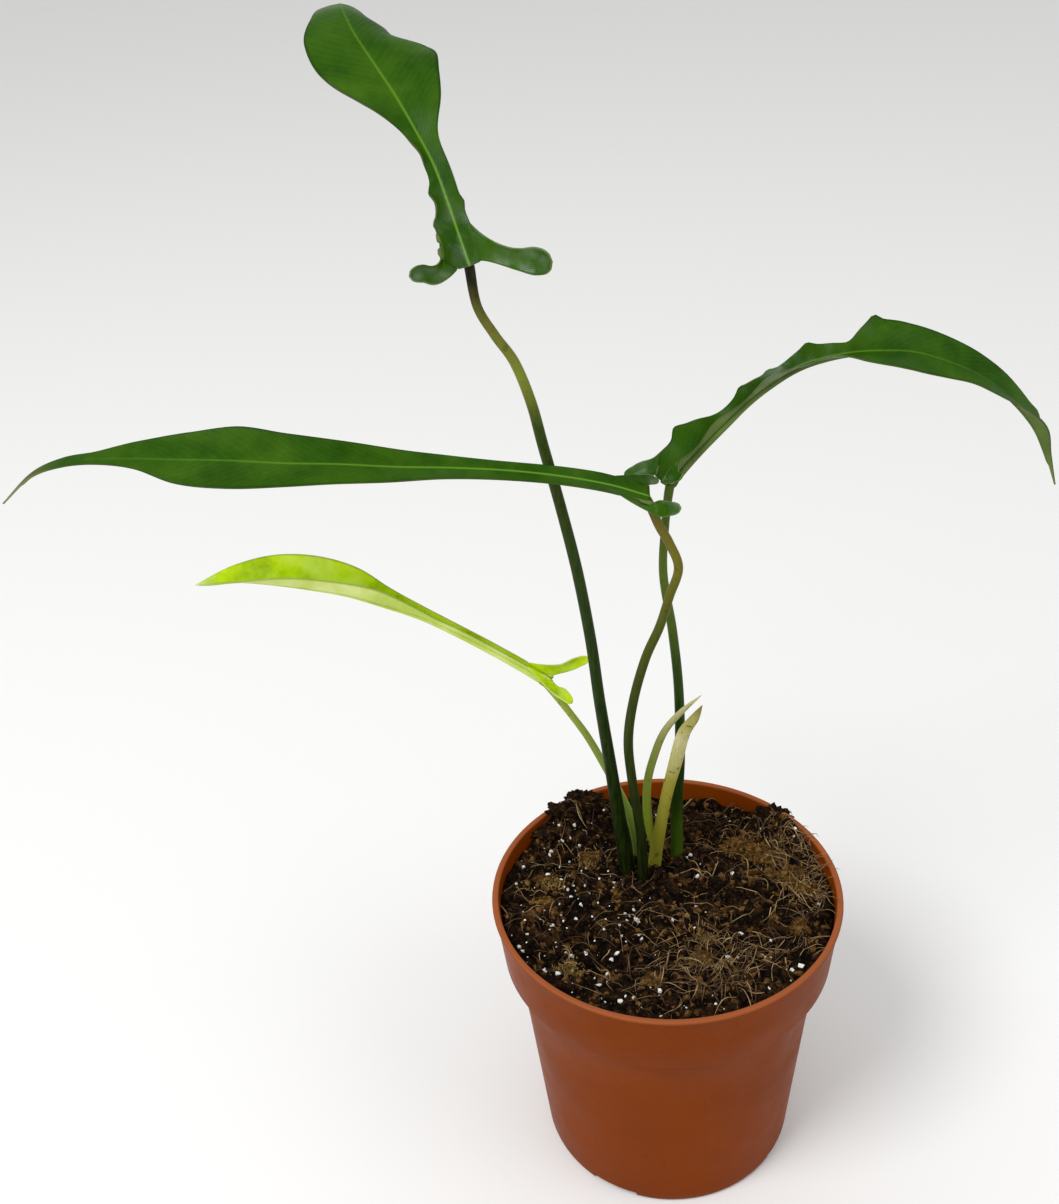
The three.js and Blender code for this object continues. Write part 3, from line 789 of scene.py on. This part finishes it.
def drain_slots(piece, sizes):
    """Cuts the four drain slots at the foot and leaves the result in the mesh."""
    cutters = bmesh.new()
    for degrees in (245, 335, 65, 155):
        turn = Matrix.Rotation(math.radians(degrees), 4, "Z")
        place = turn @ Matrix.Translation((sizes.foot_radius - 0.0015, 0, 0.0008))
        shape = Matrix.Diagonal((0.009, sizes.slot_width, 0.0036, 1))
        bmesh.ops.create_cube(cutters, size=1, matrix=place @ shape)
    mesh = bpy.data.meshes.new("slot_cutter")
    cutters.to_mesh(mesh)
    cutters.free()
    cutter = bpy.data.objects.new("slot_cutter", mesh)
    bpy.context.scene.collection.objects.link(cutter)
    cut = piece.modifiers.new("slots", "BOOLEAN")
    cut.object = cutter
    cut.solver = "EXACT"
    bpy.context.view_layer.update()
    done = bpy.data.meshes.new_from_object(piece.evaluated_get(bpy.context.evaluated_depsgraph_get()))
    piece.modifiers.clear()
    piece.data = done
    crease_corners(done)
    bpy.data.objects.remove(cutter)


class PLANT_OT_pot(bpy.types.Operator):
    """Makes the pot: a turned wall with a band, a rolled lip and drain slots"""

    bl_idname = "potted_plant.pot"
    bl_label = "Pot"

    def execute(self, context):
        sizes = context.scene.potted_plant_pot
        shape = bmesh.new()
        verts = [shape.verts.new((x, 0, z)) for x, z in pot_profile(sizes)]
        edges = [shape.edges.new(pair) for pair in zip(verts, verts[1:])]
        bmesh.ops.spin(
            shape, geom=verts + edges, cent=(0, 0, 0), axis=(0, 0, 1), angle=2 * math.pi, steps=144, use_merge=True
        )
        merge_close(shape, 1e-6)
        face_out(shape)
        material = pot_plastic(tuple(plant_settings().pot))
        piece = new_piece("nursery_pot", shape, [material], ["pot"])
        drain_slots(piece, sizes)
        return {"FINISHED"}


# Soil


class PLANT_OT_soil(bpy.types.Operator):
    """Makes the soil filling with its crumbly top"""

    bl_idname = "potted_plant.soil"
    bl_label = "Soil"

    def execute(self, context):
        shape = bmesh.new()
        edge = 0.0568
        rings = 84
        profile = [(0, 0.0026), (0.0430, 0.0026), (0.0509, 0.0832), (0.0550, 0.0860)]
        profile += [(edge * (rings - i) / rings, 0.2) for i in range(rings + 1)]
        verts = [shape.verts.new((x, 0, z)) for x, z in profile]
        edges = [shape.edges.new(pair) for pair in zip(verts, verts[1:])]
        bmesh.ops.spin(
            shape, geom=verts + edges, cent=(0, 0, 0), axis=(0, 0, 1), angle=2 * math.pi, steps=240, use_merge=True
        )
        for vert in shape.verts:
            if vert.co.z > 0.15:
                vert.co.z = crumbly_height(vert.co.x / MM, vert.co.y / MM) * MM
        merge_close(shape, 1e-6)
        face_out(shape)
        stops = [(0.34, (3, 2, 1)), (0.48, (20, 12, 7)), (0.6, (60, 40, 22)), (0.76, (118, 88, 52))]
        new_piece("soil_bed", shape, [soil_matter("peat_mix", stops)], ["soil"])
        return {"FINISHED"}


def scatter_spot(chance, reach=0.0555, clear=()):
    """A random spot on the soil, in millimetres."""
    radius = reach / MM * math.sqrt(chance.random())
    turn = chance.uniform(0, 2 * math.pi)
    return radius * math.cos(turn), radius * math.sin(turn)


def add_lump(shape, chance, x, y, z, size):
    """Adds one small uneven lump with 20 faces."""
    squash = Matrix.Diagonal((chance.uniform(0.7, 1.3), chance.uniform(0.6, 1.1), chance.uniform(0.5, 0.9), 1))
    turn = Matrix.Rotation(chance.uniform(0, 6.283), 4, (chance.random(), chance.random(), 1))
    place = Matrix.Translation((x * MM, y * MM, z * MM)) @ turn @ squash
    made = bmesh.ops.create_icosphere(shape, subdivisions=1, radius=size * MM, matrix=place)
    for vert in made["verts"]:
        vert.co += Vector([chance.uniform(-0.32, 0.32) * size * MM for _ in range(3)])


class PLANT_OT_litter(bpy.types.Operator):
    """Strews crumbs, white grains, dry fibres and moss over the soil"""

    bl_idname = "potted_plant.litter"
    bl_label = "Soil litter"

    def crumbs(self, amount):
        for name, seed, share, stops in (
            ("dark_crumbs", 3, 0.66, [(0.3, (6, 4, 2)), (0.5, (30, 20, 12)), (0.7, (76, 54, 32))]),
            ("brown_crumbs", 4, 0.34, [(0.3, (48, 30, 14)), (0.5, (98, 68, 34)), (0.7, (150, 116, 68))]),
        ):
            chance = random.Random(seed)

            def crumb(shape, number):
                x, y = scatter_spot(chance)
                size = 0.25 + 1.3 * chance.random() ** 4
                add_lump(shape, chance, x, y, crumbly_height(x, y) + 0.25 * size, size)

            shape = strewn(int(amount * share), crumb)
            new_piece(name, shape, [soil_matter(name, stops, 420, 0.5)], smooth=False)

    def grains(self, amount):
        chance = random.Random(11)

        def grain(shape, number):
            x, y = scatter_spot(chance)
            if chance.random() < 0.45:
                x, y = x * 0.42 - 31, y * 0.75 - 4
            size = 0.3 + 0.75 * chance.random() ** 2
            add_lump(shape, chance, x, y, crumbly_height(x, y) + 0.5 * size, size)

        white = plain_matter("white_grains", (205, 202, 194), (246, 246, 242), 700, 0.8)
        new_piece("perlite", strewn(amount, grain), [white], smooth=False)

    def fibre(self, shape, chance, x, y, length, thickness, lift):
        heading_turn = chance.uniform(0, 6.283)
        bend = chance.uniform(-1.6, 1.6)
        line = []
        for k in range(5):
            line.append(Vector((x, y, crumbly_height(x, y) + 0.35 + lift * math.sin(math.pi * k / 4))))
            x += length / 4 * math.cos(heading_turn)
            y += length / 4 * math.sin(heading_turn)
            heading_turn += bend / 4
            if math.hypot(x, y) > 57.5:
                heading_turn += 2.2
        bent_tube(shape, line, [thickness * 0.6, thickness, thickness, thickness * 0.3], 7, 4, wide=Vector((0, 0, 1)))

    def fibres(self, amount):
        for name, seed, share, first, second in (
            ("brown_fibres", 21, 0.6, (58, 38, 20), (112, 82, 46)),
            ("pale_fibres", 22, 0.4, (112, 88, 54), (190, 160, 108)),
        ):
            chance = random.Random(seed)

            def fibre(shape, number):
                x, y = scatter_spot(chance, 0.054)
                pick = chance.random()
                if pick < 0.3:
                    x, y = chance.gauss(16, 11), chance.gauss(-34, 8)
                elif pick < 0.5:
                    x, y = chance.gauss(46, 5), chance.gauss(12, 14)
                if math.hypot(x, y) > 55:
                    x, y = x * 0.8, y * 0.8
                thickness = 0.06 + 0.13 * chance.random() ** 2
                self.fibre(shape, chance, x, y, chance.uniform(4, 15), thickness, chance.uniform(0, 2.8))

            shape = strewn(int(amount * share), fibre, 40)
            new_piece(name, shape, [plain_matter(name, first, second, 300, 0.8)])

    def clods(self):
        """Larger knotted lumps of peat and old root."""
        tan = [(37, 22, 7), (28, 27, 5.5), (47, 5, 5), (41, 12, 5), (-27, 20, 5), (-41, 8, 4), (-31, -37, 3.2)]
        tan += [(-17, -37, 3.6), (-42, -4, 3.2), (11, -30, 3.5), (-4, -40, 3), (30, 12, 3)]
        tan += [(18, -8, 3), (-18, 2, 3), (4, -14, 3), (30, -22, 3.4), (44, -16, 3)]
        dark = [(38, 40, 5), (-30, 44, 5), (-44, 32, 4.5), (14, 40, 4), (-12, 44, 4), (-38, 38, 4), (-4, 33, 3)]
        for name, spots, stops in (
            ("tan_lumps", tan, [(0.32, (30, 18, 8)), (0.5, (92, 64, 30)), (0.68, (158, 124, 66))]),
            ("dark_lumps", dark, [(0.32, (8, 5, 3)), (0.5, (36, 24, 13)), (0.7, (96, 68, 38))]),
        ):
            shape = bmesh.new()
            for x, y, size in spots:
                middle = Vector((x, y, crumbly_height(x, y) - 0.15 * size)) * MM
                place = Matrix.Translation(middle) @ Matrix.Diagonal((1.25, 1.0, 0.5, 1))
                made = bmesh.ops.create_icosphere(shape, subdivisions=5, radius=size * MM, matrix=place)
                for vert in made["verts"]:
                    spot = vert.co / MM
                    rough = noise.noise(spot * 0.35) * 0.5 + noise.noise(spot * 0.9) * 0.35
                    vert.co += (vert.co - middle) * (rough + noise.noise(spot * 2.2) * 0.2)
            new_piece(name, shape, [soil_matter(name, stops, 600, 1.0)])

    def rim_fibres(self):
        """Fibres that lie over the lip at the right."""
        chance = random.Random(51)

        def fibre(shape, number):
            turn = math.radians(chance.uniform(-16, 44))
            radius, height, line = chance.uniform(48, 54), 108.0, []
            for k in range(5):
                line.append(Vector((radius * math.cos(turn), radius * math.sin(turn), height)))
                radius += chance.uniform(0.6, 3.2)
                turn += chance.uniform(-0.06, 0.06)
                height = 109.4 + chance.uniform(0, 1.6) - 0.25 * max(0, radius - 60)
            bent_tube(shape, line, [0.08, 0.12, 0.12, 0.06], 9, 4, wide=Vector((0, 0, 1)))

        new_piece(
            "rim_fibres",
            strewn(26, fibre),
            [plain_matter("rim_fibre", (70, 50, 28), (150, 120, 76), 300, 0.8)],
        )

    def moss(self, tufts):
        chance = random.Random(31)
        patches = ((37, 20, 8), (28, 26, 6), (46, 4, 6), (-27, 19, 5), (-40, 6, 5), (-31, -36, 4), (12, -20, 5))

        def tuft(shape, number):
            cx, cy, spread = patches[number % len(patches)]
            x, y = chance.gauss(cx, spread * 0.5), chance.gauss(cy, spread * 0.5)
            if math.hypot(x, y) > 55:
                x, y = cx, cy
            lean = Vector((chance.uniform(-1.8, 1.8), chance.uniform(-1.8, 1.8), 0))
            foot = Vector((x, y, crumbly_height(x, y) - 0.2))
            top = foot + lean + Vector((0, 0, chance.uniform(0.6, 2.6)))
            line = [foot, foot.lerp(top, 0.5) + lean * 0.2, top]
            bent_tube(shape, line, [0.2, 0.24, 0.1], 3, 3, wide=Vector((1, 0.3, 0)))

        shape = strewn(tufts * len(patches), tuft, 40)
        olive = plain_matter("moss_tufts", (84, 64, 26), (156, 128, 62), 260, 0.9)
        new_piece("moss", shape, [olive])

    def execute(self, context):
        amounts = context.scene.potted_plant_soil
        self.crumbs(amounts.crumbs)
        self.grains(amounts.perlite)
        self.clods()
        self.fibres(amounts.fibres)
        self.rim_fibres()
        self.moss(amounts.tufts)
        return {"FINISHED"}


# Stalks and new growth


class PLANT_OT_stalks(bpy.types.Operator):
    """Makes the leaf stalks, thicker at the soil and at the joint with the blade"""

    bl_idname = "potted_plant.stalks"
    bl_label = "Leaf stalks"

    def execute(self, context):
        for stalk in STALKS:
            shape = bmesh.new()
            line, radius = stalk["points"][:-1], stalk["radius"][:-1]
            blade = next(one for one in BLADES if one["name"][-1] == stalk["name"][-1])
            for t, size in ((0, 1.4), (0.015, 1.3), (0.035, 1.0), (0.06, 0.5)):
                point, right, up = blade_frame(blade, t)
                line.append(point - up * (0.2 + size))
                radius.append(size)
            bent_tube(shape, line, radius, 190, 20)
            merge_close(shape)
            face_out(shape)
            skin = stalk_skin(stalk["name"] + "_skin", stalk["skin"])
            new_piece(stalk["name"] + "_stalk", shape, [skin], [stalk["name"]])
        return {"FINISHED"}


class PLANT_OT_shoots(bpy.types.Operator):
    """Makes the straw-coloured sheath leaf and the green shoot beside it"""

    bl_idname = "potted_plant.shoots"
    bl_label = "New shoots"

    def execute(self, context):
        groove = lambda t, turn: 1.0 - 0.35 * ease((t - 0.2) / 0.3) * math.exp(-(((turn + 1.57) / 0.5) ** 2))
        keel = lambda t, turn: 1.0 + 0.12 * math.exp(-(((abs(turn) - 3.14) / 0.4) ** 2))
        for name, node, slot, part, flat, shaping, skin in (
            (
                "sheath_leaf", "cataphyll", "straw_sheath", SHEATH, 0.55, groove,
                [(100, (136, 138, 34)), (122, (146, 140, 40)), (146, (164, 154, 62)), (158, (196, 188, 126)),
                 (166, (206, 200, 150)), (173, (178, 170, 100)), (179, (126, 116, 66))],
            ),
            (
                "green_shoot", "new_shoot", "shoot_green", SHOOT, 0.6, keel,
                [(108, (138, 152, 44)), (130, (128, 148, 40)), (160, (140, 146, 78)), (182, (196, 190, 140))],
            ),
        ):
            shape = bmesh.new()
            bent_tube(shape, part["points"], part["radius"], 110, 20, flat=flat, swell=shaping)
            merge_close(shape)
            face_out(shape)
            material = stalk_skin(name + "_skin", skin, 0.5, (96, 62, 24), 0.75, 0.4)
            new_piece(name, shape, [material], [node])
        return {"FINISHED"}


class PLANT_OT_roots(bpy.types.Operator):
    """Gives the buried stem and roots their bark"""

    bl_idname = "potted_plant.roots"
    bl_label = "Buried stem and roots"

    def execute(self, context):
        bark = plain_matter("root_bark", (96, 76, 46), (140, 116, 74), 220, 0.85, 0.5)
        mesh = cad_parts["crown_and_roots"].data
        mesh.materials.clear()
        mesh.materials.append(bark)
        return {"FINISHED"}


# Blades


def blade_shape(blade, finer, columns):
    """Sheet of the blade with its ears joined to the margin, and the values that its skin reads."""
    shape = bmesh.new()
    rib = shape.verts.layers.float.new("from_midrib")
    length = shape.verts.layers.float.new("along_blade")
    edge = shape.verts.layers.float.new("to_margin")
    dry = shape.verts.layers.float.new("dryness")
    shine = shape.verts.layers.float.new("shine")
    rows = blade["rows"] * finer
    made = bmesh.ops.create_grid(shape, x_segments=columns, y_segments=rows, size=1)
    for vert in made["verts"]:
        v, t = vert.co.x, (vert.co.y + 1) / 2
        half = blade["left"] if v < 0 else blade["right"]
        from_rib = abs(v) * half_width(half, t)
        point, right, up = blade_frame(blade, t)
        ridge = 0.22 * math.exp(-((from_rib / 0.4) ** 2)) * (1 - 0.9 * t)
        vert.co = (blade_point(blade, t, v) + up * ridge) * MM
        vert[rib] = from_rib
        vert[length] = t
        vert[edge] = abs(v)
        vert[dry] = ease((t - blade["dry_from"]) / 0.14)
        vert[shine] = math.exp(-(((t - blade["shine_at"]) / 0.13) ** 2))
    for ear in blade["ears"]:
        span = (ear["rows"][1] - ear["rows"][0]) * finer
        made = bmesh.ops.create_grid(shape, x_segments=26, y_segments=span, size=1)
        for vert in made["verts"]:
            b, a = (vert.co.x + 1) / 2, (vert.co.y + 1) / 2
            vert.co = ear_point(blade, ear, a, b) * MM
            vert[rib] = 3.5 + abs(2 * a - 1)
            vert[length] = ear["rows"][1] / blade["rows"] * a
            vert[edge] = abs(2 * a - 1) * 0.9 if b > 0.3 else 0.5
            vert[shine] = ease(b / 0.6)
        if ear["side"] < 0:
            faces = {face for vert in made["verts"] for face in vert.link_faces}
            bmesh.ops.reverse_faces(shape, faces=list(faces))
    merge_close(shape, 4e-6)
    return shape


class PLANT_OT_blades(bpy.types.Operator):
    """Makes the leaf blades with their midribs"""

    bl_idname = "potted_plant.blades"
    bl_label = "Leaf blades"

    def execute(self, context):
        shades = plant_settings()
        grown = (tuple(shades.leaf_dark), tuple(shades.leaf), tuple(shades.leaf_light))
        under = tuple(shades.leaf_under)
        young = tuple(shades.young_leaf)
        pale = tuple(shades.young_under)
        rib = tuple(shades.leaf_rib)
        skins = {
            False: (
                leaf_skin("leaf_upper_skin", grown, rib, tone(88, 92, 44), 0.34),
                leaf_skin(
                    "leaf_under_skin", tuple(tuple(k * c for c in under) for k in (0.7, 1.0, 1.2)), rib, tone(140, 140, 96), 0.5
                ),
            ),
            True: (
                leaf_skin(
                    "young_upper_skin",
                    (tone(132, 166, 6), young, tone(212, 234, 84)),
                    tone(206, 226, 110),
                    tone(222, 224, 196),
                    0.42,
                ),
                leaf_skin(
                    "young_under_skin",
                    (tone(182, 204, 84), pale, tone(224, 236, 148)),
                    tone(226, 238, 156),
                    tone(222, 222, 206),
                    0.48,
                ),
            ),
        }
        for blade in BLADES:
            shape = blade_shape(blade, 3, 24)
            slot = "young_leaf" if blade["young"] else "leaf_green"
            piece = new_piece(blade["name"] + "_leaf", shape, list(skins[blade["young"]]), [blade["name"]])
            wall = piece.modifiers.new("thickness", "SOLIDIFY")
            wall.thickness = 0.5 * MM
            wall.offset = -1
            wall.material_offset = 1
            wall.material_offset_rim = 1
            self.midrib(blade, slot, skins[blade["young"]][1])
        return {"FINISHED"}

    def midrib(self, blade, slot, skin):
        """Rounded rib along the underside."""
        shape = bmesh.new()
        line = []
        radius = [1.2, 0.95, 0.7, 0.5, 0.3]
        for k in range(25):
            point, right, up = blade_frame(blade, k / 25)
            line.append(point - up * (along(radius, k / 24) + 0.15))
        bent_tube(shape, line, radius, 90, 12, wide=Vector((0.3, 0.9, 0.4)))
        merge_close(shape)
        face_out(shape)
        for name, value in (("from_midrib", 0.6), ("along_blade", 0.3), ("to_margin", 0.2), ("dryness", 0), ("shine", 0)):
            layer = shape.verts.layers.float.new(name)
            for vert in shape.verts:
                vert[layer] = value
        new_piece(blade["name"] + "_midrib", shape, [skin])


# Stage


class PLANT_OT_stage(bpy.types.Operator):
    """Sets the pale floor, the soft light and the camera"""

    bl_idname = "potted_plant.stage"
    bl_label = "Stage"

    def lamp(self, name, place, size, power, tint=(1, 1, 1)):
        data = bpy.data.lights.new(name, "AREA")
        data.shape = "DISK"
        data.size = size
        data.energy = power
        data.color = tint
        light = bpy.data.objects.new(name, data)
        bpy.context.scene.collection.objects.link(light)
        light.location = place
        aim = Vector((0, 0, 0.17)) - Vector(place)
        light.rotation_euler = aim.to_track_quat("-Z", "Y").to_euler()

    def camera(self):
        """Camera at the reference view: yaw, pitch and roll solved from the pot's outline."""
        yaw, pitch, roll = (math.radians(a) for a in (6.42, 31.68, -3.64))
        forward = Vector((-math.sin(yaw) * math.cos(pitch), math.cos(yaw) * math.cos(pitch), -math.sin(pitch)))
        level = Vector((math.cos(yaw), math.sin(yaw), 0))
        top = level.cross(forward)
        right = level * math.cos(roll) + top * math.sin(roll)
        up = top * math.cos(roll) - level * math.sin(roll)
        data = bpy.data.cameras.new("camera")
        data.lens = 36 * 1412 / 1204
        data.sensor_width = 36
        data.clip_start = 0.01
        camera = bpy.data.objects.new("camera", data)
        turn = Matrix((right, up, -forward)).transposed().to_4x4()
        camera.matrix_world = Matrix.Translation((0, -0.363, 0.4504)) @ turn
        bpy.context.scene.collection.objects.link(camera)
        bpy.context.scene.camera = camera

    def execute(self, context):
        scene = context.scene
        shape = bmesh.new()
        bmesh.ops.create_circle(shape, cap_ends=True, radius=6, segments=64)
        mesh = bpy.data.meshes.new("floor")
        shape.to_mesh(mesh)
        shape.free()
        floor = bpy.data.objects.new("floor", mesh)
        scene.collection.objects.link(floor)
        material, tree, shader = new_material("pale_floor")
        shader.inputs["Base Color"].default_value = (*plant_settings().floor, 1)
        shader.inputs["Roughness"].default_value = 0.9
        mesh.materials.append(material)
        world = bpy.data.worlds.new("studio")
        world.use_nodes = True
        back = world.node_tree.nodes["Background"]
        back.inputs["Color"].default_value = (1, 1, 1, 1)
        back.inputs["Strength"].default_value = 0.66
        scene.world = world
        self.lamp("key_light", (-0.9, -0.9, 1.8), 0.9, 24)
        self.lamp("fill_light", (1.3, -0.6, 1.5), 1.2, 5)
        self.camera()
        scene.view_settings.view_transform = "Standard"
        return {"FINISHED"}


class PLANT_PT_panel(bpy.types.Panel):
    """Sidebar list of the plant's pieces and settings"""

    bl_idname = "PLANT_PT_panel"
    bl_label = "Potted plant"
    bl_space_type = "VIEW_3D"
    bl_region_type = "UI"
    bl_category = "Plant"

    def draw(self, context):
        column = self.layout.column()
        for step in STEPS:
            column.operator("potted_plant." + step)
        for group in ("potted_plant_pot", "potted_plant_soil", "potted_plant_colours"):
            settings = getattr(context.scene, group)
            for name in type(settings).__annotations__:
                column.prop(settings, name)


STEPS = ("stage", "pot", "soil", "litter", "roots", "stalks", "shoots", "blades")
CLASSES = (
    PotSizes,
    SoilAmounts,
    PlantColours,
    PLANT_OT_pot,
    PLANT_OT_soil,
    PLANT_OT_litter,
    PLANT_OT_stalks,
    PLANT_OT_shoots,
    PLANT_OT_roots,
    PLANT_OT_blades,
    PLANT_OT_stage,
    PLANT_PT_panel,
)


def register():
    for one in CLASSES:
        bpy.utils.register_class(one)
    bpy.types.Scene.potted_plant_pot = PointerProperty(type=PotSizes)
    bpy.types.Scene.potted_plant_soil = PointerProperty(type=SoilAmounts)
    bpy.types.Scene.potted_plant_colours = PointerProperty(type=PlantColours)


def unregister():
    del bpy.types.Scene.potted_plant_pot
    del bpy.types.Scene.potted_plant_soil
    del bpy.types.Scene.potted_plant_colours
    for one in reversed(CLASSES):
        bpy.utils.unregister_class(one)


def main():
    register()
    for step in STEPS:
        getattr(bpy.ops.potted_plant, step)()


if __name__ == "__main__":
    main()
